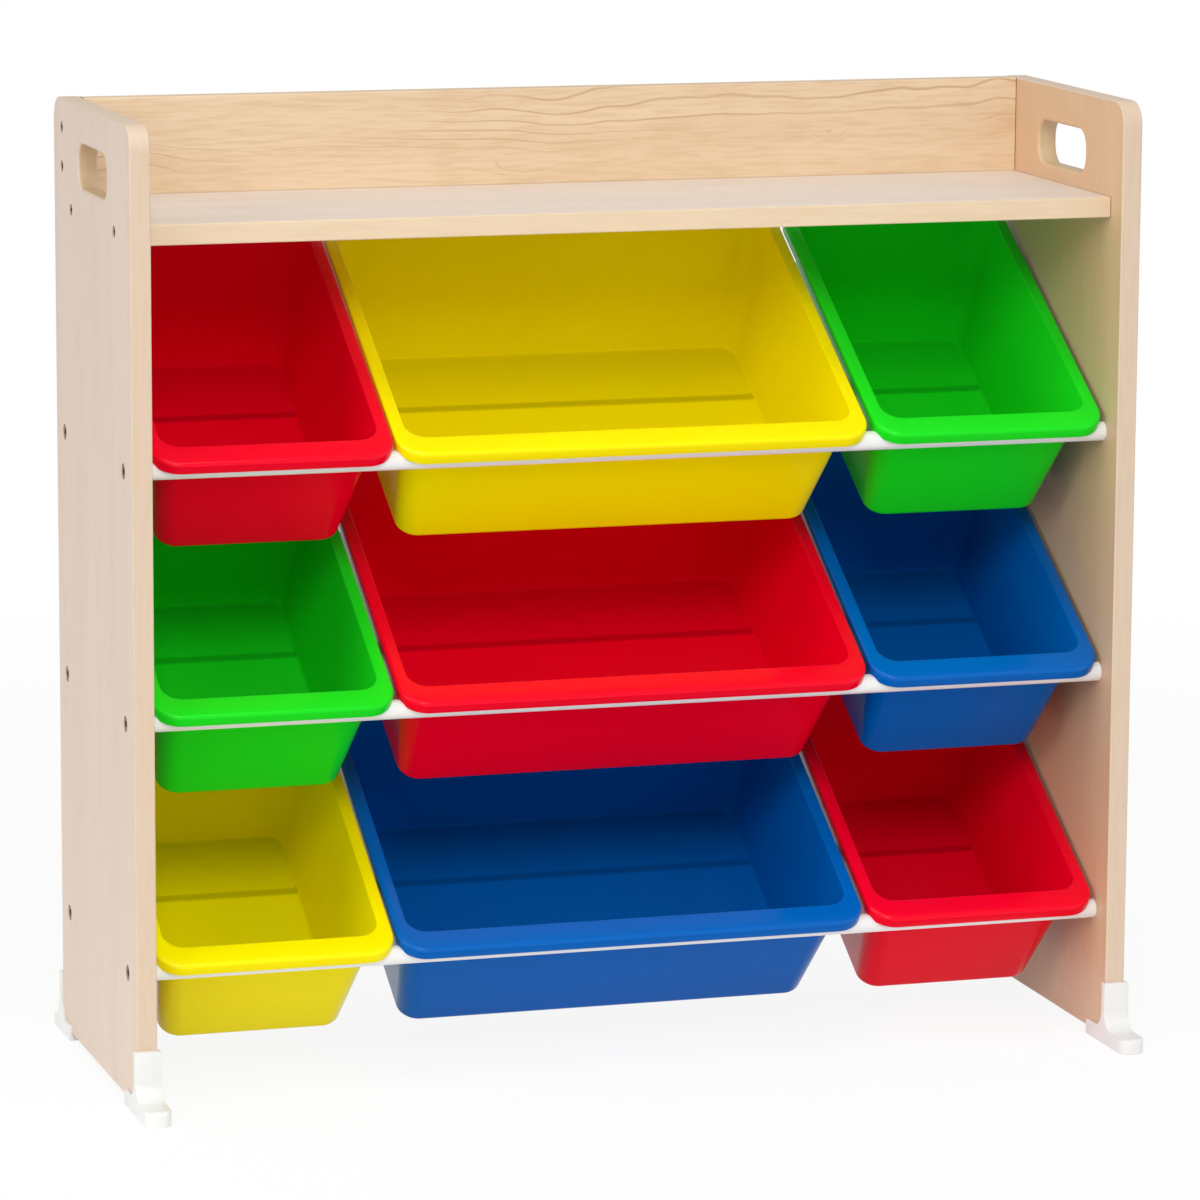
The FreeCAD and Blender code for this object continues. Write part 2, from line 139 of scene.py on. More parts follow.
class BoardSettings(PropertyGroup):
    """Look of the maple boards"""
    left_panel: colour("Left panel", "Laminate on the left side panel", (0.70, 0.56, 0.46))
    right_panel: colour("Right panel", "Laminate on the right side panel", (0.67, 0.45, 0.28))
    shelf: colour("Shelf", "Laminate on the shelf", (0.79, 0.695, 0.62))
    back: colour("Back board", "Laminate on the back board", (0.74, 0.56, 0.37))
    band: colour("Edge band", "Colour of the panels' edge bands", (0.685, 0.53, 0.395))
    shelf_band: colour("Shelf band", "Colour of the shelf's front edge", (0.77, 0.60, 0.41))
    line: colour("Growth line", "Colour of the fine growth lines", (0.50, 0.30, 0.16))
    line_spacing: length("Line spacing", "Mean distance between growth lines", 11.0)
    lining: colour("Slot walls", "Colour of the walls of the handle slots", (0.62, 0.45, 0.27))
    joint: colour("Joint", "Colour of the lines where boards meet", (0.22, 0.12, 0.06))
    joint_width: length("Joint width", "Width of the lines where boards meet", 0.7)
    band_depth: length("Band depth", "Depth of the edge bands", 1.0)
    corner: length("Panel corner", "Radius of the panels' upper corners", 20.0)
    slot_setback: length("Slot setback", "Panel's front edge to the handle slot", 84.0)
    slot_rise: length("Slot rise", "Shelf's top face to the handle slot's middle", 31.5)
    slot_length: length("Slot length", "Length of a handle slot", 108.0)
    slot_height: length("Slot height", "Height of a handle slot", 37.0)
    slot_corner: length("Slot corner", "Corner radius of a handle slot", 16.0)
    gloss: share("Roughness", "Roughness of the laminate", 0.42)


class RodSettings(PropertyGroup):
    """Look of the rods, their plugs and the screws"""
    paint: colour("Paint", "Powder coat on the rods", (0.90, 0.90, 0.89))
    plug: colour("Plug", "Plugs in the rods' ends", (0.72, 0.72, 0.70))
    screw: colour("Screw", "Plating of the screws", (0.20, 0.14, 0.09))


class FootSettings(PropertyGroup):
    """Sizes and colour of the feet"""
    plastic: colour("Plastic", "White moulded plastic", (0.78, 0.78, 0.76))
    edge: length("Edge rounding", "Rounding of a foot's edges", 1.2)


class StageSettings(PropertyGroup):
    """Camera, floor and lamps"""
    camera_place: FloatVectorProperty(
        name="Camera", description="Place of the camera", default=(-1.4366, -4.6131, 1.2466),
        size=3, subtype="TRANSLATION", unit="LENGTH")
    camera_turn: FloatProperty(
        name="Camera turn", description="View direction from +Y towards +X",
        default=0.3024, subtype="ANGLE")
    camera_drop: FloatProperty(
        name="Camera drop", description="View direction below the horizon",
        default=0.1775, subtype="ANGLE")
    camera_roll: FloatProperty(
        name="Camera roll", description="Roll about the view direction",
        default=0.0057, subtype="ANGLE")
    lens: FloatProperty(name="Lens", description="Focal length in millimetres", default=174.76)
    floor_near: colour("Floor", "Colour of the floor round the unit", (0.92, 0.92, 0.92))
    floor_far: colour("Far floor", "Colour of the floor further away", (0.30, 0.30, 0.30))
    surround: share("Surround", "Strength of the light from all round", 0.57)
    key: FloatProperty(name="Key lamp", description="Power of the large front lamp", default=53.0)
    top: FloatProperty(name="Top lamp", description="Power of the lamp overhead", default=24.0)
    left: FloatProperty(name="Left lamp", description="Power of the lamp at the left", default=41.0)
    right: FloatProperty(
        name="Right lamp", description="Power of the lamp at the right", default=14.0)


# ---- shader graphs --------------------------------------------------------------------

# Numbers of outputs: object coordinates, an attribute's vector, and the camera, glossy and
# transmission rays of a light path.
OBJECT_OUTPUT = 3
VECTOR_OUTPUT = 1
RAY_OUTPUTS = (0, 3, 6)
# Inputs and output of a colour mix.
MIX_FIRST, MIX_SECOND, MIX_RESULT = 6, 7, 2
WHITE = (1.0, 1.0, 1.0)


class Field:
    """A number that varies over a surface, used with ordinary arithmetic."""

    def __init__(self, graph, socket):
        self.graph = graph
        self.socket = socket

    def combine(self, operation, first, second=None, clamp=False):
        inputs = {0: first}
        if second is not None:
            inputs[1] = second
        settings = {"operation": operation, "use_clamp": clamp}
        return self.graph.node("ShaderNodeMath", settings, inputs)

    def __add__(self, other):
        return self.combine("ADD", self, other)

    def __radd__(self, other):
        return self.combine("ADD", other, self)

    def __sub__(self, other):
        return self.combine("SUBTRACT", self, other)

    def __rsub__(self, other):
        return self.combine("SUBTRACT", other, self)

    def __mul__(self, other):
        return self.combine("MULTIPLY", self, other)

    def __rmul__(self, other):
        return self.combine("MULTIPLY", other, self)

    def __truediv__(self, other):
        return self.combine("DIVIDE", self, other)

    def __pow__(self, other):
        return self.combine("POWER", self, other)

    def __abs__(self):
        return self.combine("ABSOLUTE", self)

    def __gt__(self, other):
        return self.combine("GREATER_THAN", self, other)

    def __lt__(self, other):
        return self.combine("LESS_THAN", self, other)

    def clamped(self):
        return self.combine("ADD", self, 0.0, clamp=True)

    def at_least(self, other):
        return self.combine("MAXIMUM", self, other)

    def at_most(self, other):
        return self.combine("MINIMUM", self, other)

    def sine(self):
        return self.combine("SINE", self)


class Finish:
    """A material and its graph."""

    def __init__(self, name):
        self.material = bpy.data.materials.new(name)
        self.material.use_nodes = True
        self.tree = self.material.node_tree
        self.shader = self.tree.nodes["Principled BSDF"]

    def feed(self, socket, value):
        if isinstance(value, Field):
            self.tree.links.new(value.socket, socket)
        elif isinstance(value, bpy.types.NodeSocket):
            self.tree.links.new(value, socket)
        elif socket.type == "RGBA" and len(value) == 3:
            socket.default_value = (*value, 1.0)
        else:
            socket.default_value = value

    def node(self, kind, settings=None, inputs=None, output=0):
        """Adds a node; its settings are made before its sockets are filled."""
        node = self.tree.nodes.new(kind)
        for key, value in (settings or {}).items():
            if key == "stops":
                ramp = node.color_ramp
                while len(ramp.elements) < len(value):
                    ramp.elements.new(0.5)
                for element, (place, tint) in zip(ramp.elements, value):
                    element.position = place
                    element.color = (*tint, 1.0)
            else:
                setattr(node, key, value)
        for key, value in (inputs or {}).items():
            self.feed(node.inputs[key], value)
        return Field(self, node.outputs[output])

    def set(self, **values):
        for key, value in values.items():
            self.feed(self.shader.inputs[key.replace("_", " ")], value)

    def coordinates(self):
        """Object coordinates."""
        return self.node("ShaderNodeTexCoord", output=OBJECT_OUTPUT)

    def place(self, scale=(1, 1, 1), offset=(0, 0, 0)):
        """Object coordinates, scaled and shifted."""
        return self.node("ShaderNodeMapping", inputs={
            "Vector": self.coordinates(), "Location": offset, "Scale": scale})

    def axes(self, place=None):
        """x, y and z of a place as three fields; without one, of the object coordinates."""
        split = self.tree.nodes.new("ShaderNodeSeparateXYZ")
        self.feed(split.inputs[0], place or self.coordinates())
        return [Field(self, socket) for socket in split.outputs]

    def nearness(self, centre, reach):
        """1 at the centre, falling to 0 at the distances along x, y and z in reach."""
        scale = [1.0 / r for r in reach]
        shifted = self.place(scale, [-c * s for c, s in zip(centre, scale)])
        distance = self.node(
            "ShaderNodeVectorMath", {"operation": "LENGTH"}, {0: shifted}, output=1)
        return self.ramp(distance, (0.0, 1.0), (0.25, 0.80), (0.6, 0.22), (1.0, 0.0))

    def noise(self, place, scale, detail=2.0, roughness=0.5, distortion=0.0):
        return self.node("ShaderNodeTexNoise", inputs={
            "Vector": place, "Scale": scale, "Detail": detail,
            "Roughness": roughness, "Distortion": distortion})

    def blend(self, factor, first, second, kind="MIX"):
        """Mixes two colours."""
        settings = {"data_type": "RGBA", "blend_type": kind}
        return self.node("ShaderNodeMix", settings, {
            "Factor": factor, MIX_FIRST: first, MIX_SECOND: second}, output=MIX_RESULT)

    def ramp(self, factor, *stops):
        """Turns one number into another through the given (place, value) stops."""
        grey = tuple((place, (value, value, value)) for place, value in stops)
        return self.node("ShaderNodeValToRGB", {"stops": grey}, {"Fac": factor})

    def bump(self, height, strength, distance):
        return self.node("ShaderNodeBump", inputs={
            "Strength": strength, "Distance": distance, "Height": height})


# Maple: how far the noise bends the growth lines, in radians, and the fine grain's tint.
CONTOUR_BEND = 44.0
DRIFT_BEND = 15.0
KNOT_BEND = 11.0
GRAIN_TINT = (0.90, 0.85, 0.78)


def maple(name, base, settings, scale, offset, figure, streaks, knots=(), marks=()):
    """Maple laminate. scale stretches the coordinates so that the grain runs along the axis
    with the small number; figure is the strength of the growth lines and streaks that of
    the fine grain. Each mark is a function that marks a part of the board, such as a banded
    edge, with the strength and the colour that it has there."""
    finish = Finish(name)
    place = finish.place(scale=scale, offset=offset)
    across = finish.node(
        "ShaderNodeVectorMath", {"operation": "DOT_PRODUCT"}, {0: place, 1: scale}, output=1)
    contour = finish.noise(place, 9.0, detail=1.4, roughness=0.4, distortion=0.25)
    drift = finish.noise(finish.place(offset=offset), 9.0, detail=2.0)
    phase = across * (2 * math.pi / settings.line_spacing)
    phase = phase + contour * CONTOUR_BEND + drift * DRIFT_BEND
    knotty = None
    for centre, reach in knots:
        near = finish.nearness(centre, reach)
        phase = phase + near * KNOT_BEND
        knotty = near if knotty is None else knotty.at_least(near)
    lines = finish.ramp(phase.sine() * 0.5 + 0.5, (0.0, 0.0), (0.93, 0.0), (0.995, 1.0))
    strength = finish.ramp(
        finish.noise(place, 24.0, detail=1.0), (0.47, 0.03), (0.68, 0.9))
    if knotty is not None:
        strength = strength.at_least(knotty * 0.8)
    streak = finish.noise(place, 300.0, detail=2.0, roughness=0.6)
    cloud = finish.noise(place, 26.0, detail=2.0)
    fibre = finish.noise(place, 900.0, detail=2.0)
    base = tuple(base)
    warm = tuple(1 - (1 - c) * streaks for c in GRAIN_TINT)
    darker = tuple(c * (1 - (1 - w) * 0.6) for c, w in zip(base, warm))
    paler = tuple(min(1.0, c * (1 + (1 - w) * 0.4)) for c, w in zip(base, warm))
    tint = finish.blend(finish.ramp(cloud, (0.36, 0.0), (0.64, 1.0)), darker, paler)
    grain = finish.blend(finish.ramp(streak, (0.36, 0.0), (0.56, 1.0)), warm, WHITE)
    tint = finish.blend(1.0, tint, grain, "MULTIPLY")
    tint = finish.blend(lines * strength * figure, tint, tuple(settings.line))
    for mark, depth, shown in marks:
        colour_there = finish.blend(1.0, tuple(shown), grain, "MULTIPLY")
        tint = finish.blend(mark(finish) * depth, tint, colour_there)
    finish.set(
        Base_Color=tint,
        Roughness=settings.gloss + (fibre - 0.5) * 0.12,
        Normal=finish.bump(fibre, 0.04, 0.0005))
    return finish.material


def panel_band(node, settings):
    """Marks the edge band round a side panel: all within the band's depth of its outline."""
    low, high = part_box(node)
    radius = settings.corner

    def mark(finish):
        _, y, z = finish.axes()
        inward = (y - low[1]).at_most(high[1] - y)
        across = (radius - inward).at_least(0.0)
        down = (radius - (high[2] - z)).at_least(0.0)
        reach = (across * across + down * down) ** 0.5
        return reach > radius - settings.band_depth
    return mark


def slot_walls(node, settings):
    """Marks the walls of a side panel's handle slot, with a little to spare."""
    spare = 0.4 * MILLIMETRE
    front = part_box(node)[0][1] + settings.slot_setback
    middle_y = front + settings.slot_length / 2
    middle_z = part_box("top_shelf")[1][2] + settings.slot_rise
    radius = settings.slot_corner

    def mark(finish):
        _, y, z = finish.axes()
        along = (abs(y - middle_y) - (settings.slot_length / 2 - radius)).at_least(0.0)
        up = (abs(z - middle_z) - (settings.slot_height / 2 - radius)).at_least(0.0)
        return (along * along + up * up) ** 0.5 < radius + spare
    return mark


def board_ends(node, settings):
    """Marks the ends of a board between the panels."""
    low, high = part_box(node)
    middle = (low[0] + high[0]) / 2

    def mark(finish):
        x, _, _ = finish.axes()
        return abs(x - middle) > (high[0] - low[0]) / 2 - settings.joint_width
    return mark


def lower_edge(node, settings):
    """Marks the lowest strip of a board that stands on another."""
    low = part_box(node)[0]

    def mark(finish):
        return finish.axes()[2] < low[2] + settings.joint_width
    return mark


def front_edge(node, settings):
    """Marks the front edge of a board."""
    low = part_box(node)[0]

    def mark(finish):
        return finish.axes()[1] < low[1] + settings.band_depth
    return mark


# The painted shade on a bin's floor climbs this far up the fillet round it, and the painted shade
# behind the rod has this share.
FLOOR_FILLET_SHADED = 1.5 * MILLIMETRE
BEHIND_ROD = 0.35


def plastic(name, base, roughness, shine, seed, bin_settings=None):
    """Injection-moulded plastic: an even colour with a faint satin texture. With a bin's settings, its
    rim gets a clear skin and its floor a painted shadow of the rear rod, with painted shade behind the
    rod."""
    finish = Finish(name)
    place = finish.place(offset=(seed * 1.7, seed * 0.6, seed * 0.3))
    cloud = finish.noise(place, 9.0, detail=2.0)
    pebble = finish.noise(place, 1500.0, detail=1.0)
    scuff = finish.noise(place, 55.0, detail=4.0, roughness=0.7)
    lighter = tuple(min(1.0, c * 1.04) for c in base)
    darker = tuple(c * 0.96 for c in base)
    tint = finish.blend(cloud, darker, lighter)
    if bin_settings:
        own = finish.node("ShaderNodeAttribute", {"attribute_name": "own_place"}, output=VECTOR_OUTPUT)
        _, along, height = finish.axes(own)
        skin = height > bin_settings.rim_rise - bin_settings.crown - bin_settings.rim_edge
        finish.set(Coat_Weight=skin * bin_settings.rim_polish, Coat_Roughness=0.18)
        # Painted shadow of the rear rod and painted shade behind it, multiplied into the bin's base
        # colour.
        shade = painted_rod_shade(finish, along, height, bin_settings)
        tint = finish.blend(1.0, tint, shade, "MULTIPLY")
    finish.set(
        Base_Color=tint,
        Roughness=roughness + (scuff - 0.5) * 0.08 + (cloud - 0.5) * 0.04,
        Normal=finish.bump(pebble, 0.06, 0.0002),
        Specular_IOR_Level=shine,
        Specular_Tint=tuple(0.1 + 0.9 * c / max(base) for c in base))
    return finish.material


def painted_rod_shade(finish, along, height, settings):
    """Factor for a bin's colour that paints shade on its floor: a painted shadow band where the floor
    lies on the rear rod, and painted shade over the floor behind the rod. It stands in for the light
    that the thin floor lets through from below."""
    half = settings.rod_shadow_width / 2
    middle = rod_spacing() * math.cos(tilt(settings)) - 0.4 * half
    shadow = finish.ramp(abs(along - middle) / half, (0.0, 1.0), (0.5, 0.9), (1.0, 0.0))
    behind = along > middle
    floor_top = settings.rim_rise - settings.depth + settings.floor
    on_floor = height < floor_top + FLOOR_FILLET_SHADED
    # Painted shadow of the rod, and painted shade behind it, as a darkening of the floor's colour.
    shade = shadow.at_least(behind * BEHIND_ROD) * settings.rod_shadow
    return 1.0 - on_floor * shade


def painted(name, base):
    """Satin powder coat with a fine orange-peel surface."""
    finish = Finish(name)
    place = finish.place()
    peel = finish.noise(place, 700.0, detail=2.0)
    cloud = finish.noise(place, 14.0, detail=2.0)
    finish.set(
        Base_Color=finish.blend(cloud * 0.3, base, tuple(c * 0.94 for c in base)),
        Roughness=0.30 + (cloud - 0.5) * 0.08,
        Normal=finish.bump(peel, 0.05, 0.0003))
    return finish.material


def plated(name, base):
    """Dark bronze plating, worn a little brighter in places."""
    finish = Finish(name)
    place = finish.place()
    wear = finish.ramp(finish.noise(place, 500.0, detail=3.0), (0.45, 0.0), (0.75, 1.0))
    brighter = tuple(min(1.0, c * 2.2 + 0.05) for c in base)
    finish.set(
        Base_Color=finish.blend(wear * 0.5, base, brighter),
        Metallic=1.0,
        Roughness=0.36 + wear * 0.14)
    return finish.material


# ---- modelling helpers -----------------------------------------------------------------

# Distances below which a point counts as on an outline, and two places as the same.
ON_OUTLINE = 0.1 * MILLIMETRE
SAME_PLACE = 0.01 * MILLIMETRE
# Angle in degrees between faces up to which they are shaded smooth.
SMOOTH_BELOW = 32.0

def deselect_all():
    if bpy.context.object and bpy.context.object.mode != "OBJECT":
        bpy.ops.object.mode_set(mode="OBJECT")
    bpy.ops.object.select_all(action="DESELECT")


def make_active(piece):
    deselect_all()
    piece.select_set(True)
    bpy.context.view_layer.objects.active = piece


def dress(piece, material):
    """Gives a piece one material in every slot."""
    if not piece.material_slots:
        piece.data.materials.append(material)
    for slot in piece.material_slots:
        slot.material = material


def dress_node(node, material):
    dress(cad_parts[node], material)


def choose(piece, kind, test):
    """In edit mode, selects the vertices, edges or faces that pass the test."""
    bpy.ops.mesh.select_mode(type=kind)
    bpy.ops.mesh.select_all(action="DESELECT")
    mesh = bmesh.from_edit_mesh(piece.data)
    parts = {"VERT": mesh.verts, "EDGE": mesh.edges, "FACE": mesh.faces}[kind]
    for part in parts:
        if test(part):
            part.select_set(True)
    mesh.select_flush_mode()
    bmesh.update_edit_mesh(piece.data)


def apply_modifier(piece, kind, **settings):
    modifier = piece.modifiers.new(kind.title(), kind)
    for key, value in settings.items():
        setattr(modifier, key, value)
    make_active(piece)
    bpy.ops.object.modifier_apply(modifier=modifier.name)


def settle(piece):
    """Puts a piece's place and turn into its mesh."""
    make_active(piece)
    bpy.ops.object.transform_apply(location=True, rotation=True, scale=True)


def smooth(piece):
    make_active(piece)
    bpy.ops.object.shade_smooth_by_angle(angle=math.radians(SMOOTH_BELOW))


class Ring:
    """A rounded outline of a bin at one height."""

    def __init__(self, half, front, rear, radius, height):
        self.half = half
        self.front = front
        self.rear = rear
        self.radius = radius
        self.height = height

    def add(self, steps):
        """Adds the outline to the mesh in edit mode, as edges alone."""
        middle = (0.0, (self.front + self.rear) / 2, self.height)
        bpy.ops.mesh.select_all(action="DESELECT")
        bpy.ops.mesh.primitive_plane_add(size=1.0, location=middle)
        bpy.ops.transform.resize(
            value=(2 * self.half, self.rear - self.front, 1.0), center_override=middle)
        bpy.ops.mesh.bevel(
            affect="VERTICES", offset=self.radius, offset_type="OFFSET",
            segments=steps, profile=0.5)
        bpy.ops.mesh.delete(type="ONLY_FACE")

    def carries(self, edge):
        """True if both ends of the edge lie on the outline."""
        return all(abs(self.distance(*vert.co)) < ON_OUTLINE for vert in edge.verts)

    def distance(self, x, y, z):
        """Distance of a point from the outline, in its plane."""
        if abs(z - self.height) > SAME_PLACE:
            return math.inf
        over_x = abs(x) - (self.half - self.radius)
        over_y = abs(y - (self.front + self.rear) / 2)
        over_y -= (self.rear - self.front) / 2 - self.radius
        if over_x > 0 and over_y > 0:
            return math.hypot(over_x, over_y) - self.radius
        return max(over_x, over_y) - self.radius


def wall_ring(settings, width, height, inset):
    """Outline of the tapered wall at a height, moved in from its outer face by inset."""
    down = (settings.rim_rise - height) / settings.depth
    half = width / 2 - settings.rim_side + settings.wall - settings.side_draft * down - inset
    front = rim_front(settings) + settings.rim_front - settings.wall
    front += settings.front_draft * down + inset
    rear = rim_front(settings) + settings.rim_length - settings.rim_side + settings.wall
    rear -= settings.rear_draft * down + inset
    radius = settings.mouth_corner + (settings.floor_corner - settings.mouth_corner) * down
    return Ring(half, front, rear, radius + settings.wall - inset, height)


def rod_spacing():
    """Level distance from a front rod to the rear rod of its row."""
    return middle_of("rear_rod_top").y - middle_of("front_rod_top").y


def seat_radius(settings):
    """Radius of the round seat that a bin has on a rod."""
    return size_of("front_rod_top").z / 2 + settings.seat


def rim_front(settings):
    """Front of the rim, which puts the sloping front wall close behind the front rod."""
    slope = settings.front_draft / settings.depth
    wall_at_axis = seat_radius(settings) * math.hypot(1.0, slope)
    return wall_at_axis - slope * settings.rim_rise + settings.wall - settings.rim_front


def tilt(settings):
    """Slope at which the floor lies on the rear rod."""
    drop = settings.depth - settings.rim_rise + seat_radius(settings)
    return math.asin(drop / rod_spacing())


def rim_ring(settings, width, height, inset):
    """Outline of the rim, moved in from its outer face by inset."""
    front = rim_front(settings)
    return Ring(
        width / 2 - inset, front + inset, front + settings.rim_length - inset,
        settings.rim_corner - inset, height)


SKIRT_EDGE = 0.5 * MILLIMETRE
ROD_STEPS = 96


def empty_mesh(name):
    """A piece without any vertices, left in edit mode."""
    deselect_all()
    bpy.ops.mesh.primitive_plane_add(size=1.0)
    piece = bpy.context.object
    piece.name = name
    bpy.ops.object.mode_set(mode="EDIT")
    bpy.ops.mesh.select_all(action="SELECT")
    bpy.ops.mesh.delete(type="VERT")
    return piece


def model_bin(settings, width, name):
    """One bin in its own frame, from outlines that are bridged into a single shell."""
    top = settings.rim_rise
    floor_low = top - settings.depth
    floor_top = floor_low + settings.floor
    underside = top - settings.rim_thickness
    skirt_low = top - settings.skirt
    rings = [
        wall_ring(settings, width, floor_top, settings.wall),
        wall_ring(settings, width, top, settings.wall),
        rim_ring(settings, width, top - settings.crown, 0.0),
        rim_ring(settings, width, skirt_low, 0.0),
        rim_ring(settings, width, skirt_low + settings.crown, settings.wall),
        rim_ring(settings, width, underside, settings.wall),
        wall_ring(settings, width, underside - settings.crown, 0.0),
        wall_ring(settings, width, floor_low, 0.0),
    ]
    shell = empty_mesh(name)
    for ring in rings:
        ring.add(settings.corner_steps)
    for near, far in zip(rings, rings[1:]):
        choose(shell, "EDGE", lambda edge: near.carries(edge) or far.carries(edge))
        bpy.ops.mesh.bridge_edge_loops()
    for ring in (rings[0], rings[-1]):
        choose(shell, "EDGE", ring.carries)
        bpy.ops.mesh.edge_face_add()
    bpy.ops.mesh.select_all(action="SELECT")
    bpy.ops.mesh.normals_make_consistent(inside=False)

    def round_ring(index, radius, segments):
        choose(shell, "EDGE", rings[index].carries)
        bpy.ops.mesh.bevel(
            affect="EDGES", offset=radius, offset_type="OFFSET", segments=segments,
            profile=0.5, clamp_overlap=False)

    round_ring(0, settings.base_edge - settings.wall, 5)
    round_ring(1, settings.mouth_edge, 3)
    round_ring(2, settings.rim_edge, 5)
    for skirt_edge in (3, 4):
        round_ring(skirt_edge, SKIRT_EDGE, 2)
    round_ring(7, settings.base_edge, 6)
    bpy.ops.object.mode_set(mode="OBJECT")

    cutter = model_notch(settings, width)
    apply_modifier(
        shell, "BOOLEAN", operation="DIFFERENCE", object=cutter, solver="EXACT", use_self=True)
    bpy.data.objects.remove(cutter)
    smooth(shell)
    note_own_place(shell)
    return shell


def note_own_place(shell):
    """Keeps each point's place in the bin's own frame, for its material."""
    own = shell.data.attributes.new("own_place", "FLOAT_VECTOR", "POINT")
    for vertex in shell.data.vertices:
        own.data[vertex.index].vector = vertex.co


def model_notch(settings, width):
    """What the front rod takes out of the skirt at both sides of a bin."""
    length_x = settings.rim_corner / 2 + settings.wall
    cutter = empty_mesh("notch_cutter")
    for side in (-1, 1):
        middle = side * (width / 2 + settings.wall - length_x / 2)
        bpy.ops.mesh.select_all(action="DESELECT")
        bpy.ops.mesh.primitive_cylinder_add(
            vertices=ROD_STEPS, radius=seat_radius(settings), depth=length_x,
            location=(middle, 0.0, 0.0), rotation=(0.0, math.radians(90), 0.0))
    bpy.ops.object.mode_set(mode="OBJECT")
    return cutter


def copy_of(source, name):
    """A copy of a piece with a mesh of its own."""
    piece = source.copy()
    piece.data = source.data.copy()
    piece.name = name
    bpy.context.collection.objects.link(piece)
    return piece


def model_foot(settings, node):
    """A foot with the CAD foot's shape and rounded outer edges."""
    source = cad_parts[node]
    piece = copy_of(source, node + "_shell")
    piece.parent = None
    piece.matrix_world = source.matrix_world.copy()
    settle(piece)
    bpy.ops.object.mode_set(mode="EDIT")
    bpy.ops.mesh.select_all(action="SELECT")
    bpy.ops.mesh.remove_doubles(threshold=SAME_PLACE)
    bpy.ops.mesh.dissolve_limited(angle_limit=math.radians(1.0))
    choose(piece, "EDGE", lambda edge: (
        edge.is_manifold and edge.is_convex and edge.calc_face_angle() > math.radians(40)))
    bpy.ops.mesh.bevel(
        affect="EDGES", offset=settings.edge, offset_type="OFFSET", segments=4,
        profile=0.5, clamp_overlap=True)
    bpy.ops.object.mode_set(mode="OBJECT")
    smooth(piece)
    return piece


def place_bin(shell, row, column):
    """Copies a modelled bin to its place on the rods; gives the copy and its node's name."""
    settings = bpy.context.scene.organizer_bins
    node = "bin_" + row + "_" + column
    piece = copy_of(shell, node + "_shell")
    rod_middle = middle_of("front_rod_" + row)
    piece.matrix_world = (
        Matrix.Translation((middle_of(node).x, rod_middle.y, rod_middle.z))
        @ Matrix.Rotation(tilt(settings), 4, "X"))
    settle(piece)
    return piece, node


# ---- operators ------------------------------------------------------------------------

# Scales that draw the maple's figure out along an upright or a level board.
UPRIGHT_GRAIN = (1.0, 1.0, 0.085)
LEVEL_GRAIN = (0.085, 1.0, 1.0)
# Knots on the back board's front face: x and z of the middle, and reach along x, y and z.
KNOTS = (
    (0.24, 0.757, (0.030, 0.05, 0.014)),
    (-0.035, 0.735, (0.060, 0.05, 0.016)),
    (0.130, 0.741, (0.018, 0.05, 0.009)),
)


class ORGANIZER_OT_boards(Operator):
    """Gives the side panels, the shelf and the back board their maple laminate"""
    bl_idname = "organizer.boards"
    bl_label = "Maple boards"

    def execute(self, context):
        settings = context.scene.organizer_boards
        for side, base, seed in (
                ("left", settings.left_panel, 0.0), ("right", settings.right_panel, 3.1)):
            node = side + "_side_panel"
            dress_node(node, maple(
                node + "_maple", base, settings, UPRIGHT_GRAIN, (0.0, seed, seed),
                figure=0.12, streaks=0.30, marks=[
                    (slot_walls(node, settings), 1.0, settings.lining),
                    (panel_band(node, settings), 1.0, settings.band)]))
        dress_node("top_shelf", maple(
            "top_shelf_maple", settings.shelf, settings, LEVEL_GRAIN, (1.3, 1.3, 0.0),
            figure=0.20, streaks=0.40, marks=[
                (front_edge("top_shelf", settings), 1.0, settings.shelf_band),
                (board_ends("top_shelf", settings), 1.0, settings.joint)]))
        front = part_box("back_board")[0][1]
        knots = [((x, front, z), reach) for x, z, reach in KNOTS]
        dress_node("back_board", maple(
            "back_board_maple", settings.back, settings, LEVEL_GRAIN, (2.2, 2.2, 0.0),
            figure=0.75, streaks=0.75, knots=knots, marks=[
                (lower_edge("back_board", settings), 0.35, settings.joint),
                (board_ends("back_board", settings), 1.0, settings.joint)]))
        return {"FINISHED"}


class ORGANIZER_OT_rods(Operator):
    """Gives the rods their white powder coat and dresses the plugs and screws"""
    bl_idname = "organizer.rods"
    bl_label = "Rods and fasteners"

    def execute(self, context):
        settings = context.scene.organizer_rods
        coat = painted("white_powder_coat", tuple(settings.paint))
        for row in ROWS:
            for end in ("front", "rear"):
                dress_node(end + "_rod_" + row, coat)
        plugs = plastic(
            "plug_plastic", tuple(settings.plug), roughness=0.45, shine=0.5, seed=1.0)
        dress_node("rod_end_plugs", plugs)
        metal = plated("bronze_plating", tuple(settings.screw))
        for node in ("rod_screws", "shelf_screws", "back_board_screws", "foot_screws"):
            dress_node(node, metal)
        return {"FINISHED"}


class ORGANIZER_OT_feet(Operator):
    """Softens the edges of the four feet and gives them their white plastic"""
    bl_idname = "organizer.feet"
    bl_label = "Feet"

    def execute(self, context):
        settings = context.scene.organizer_feet
        material = plastic(
            "foot_plastic", tuple(settings.plastic), roughness=0.34, shine=0.5, seed=2.0)
        for end in ("front", "rear"):
            for side in ("left", "right"):
                node = "foot_" + end + "_" + side
                dress_node(node, material)
                piece = model_foot(settings, node)
                dress(piece, material)
                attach(piece, "organizer_frame")
                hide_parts(node)
        return {"FINISHED"}


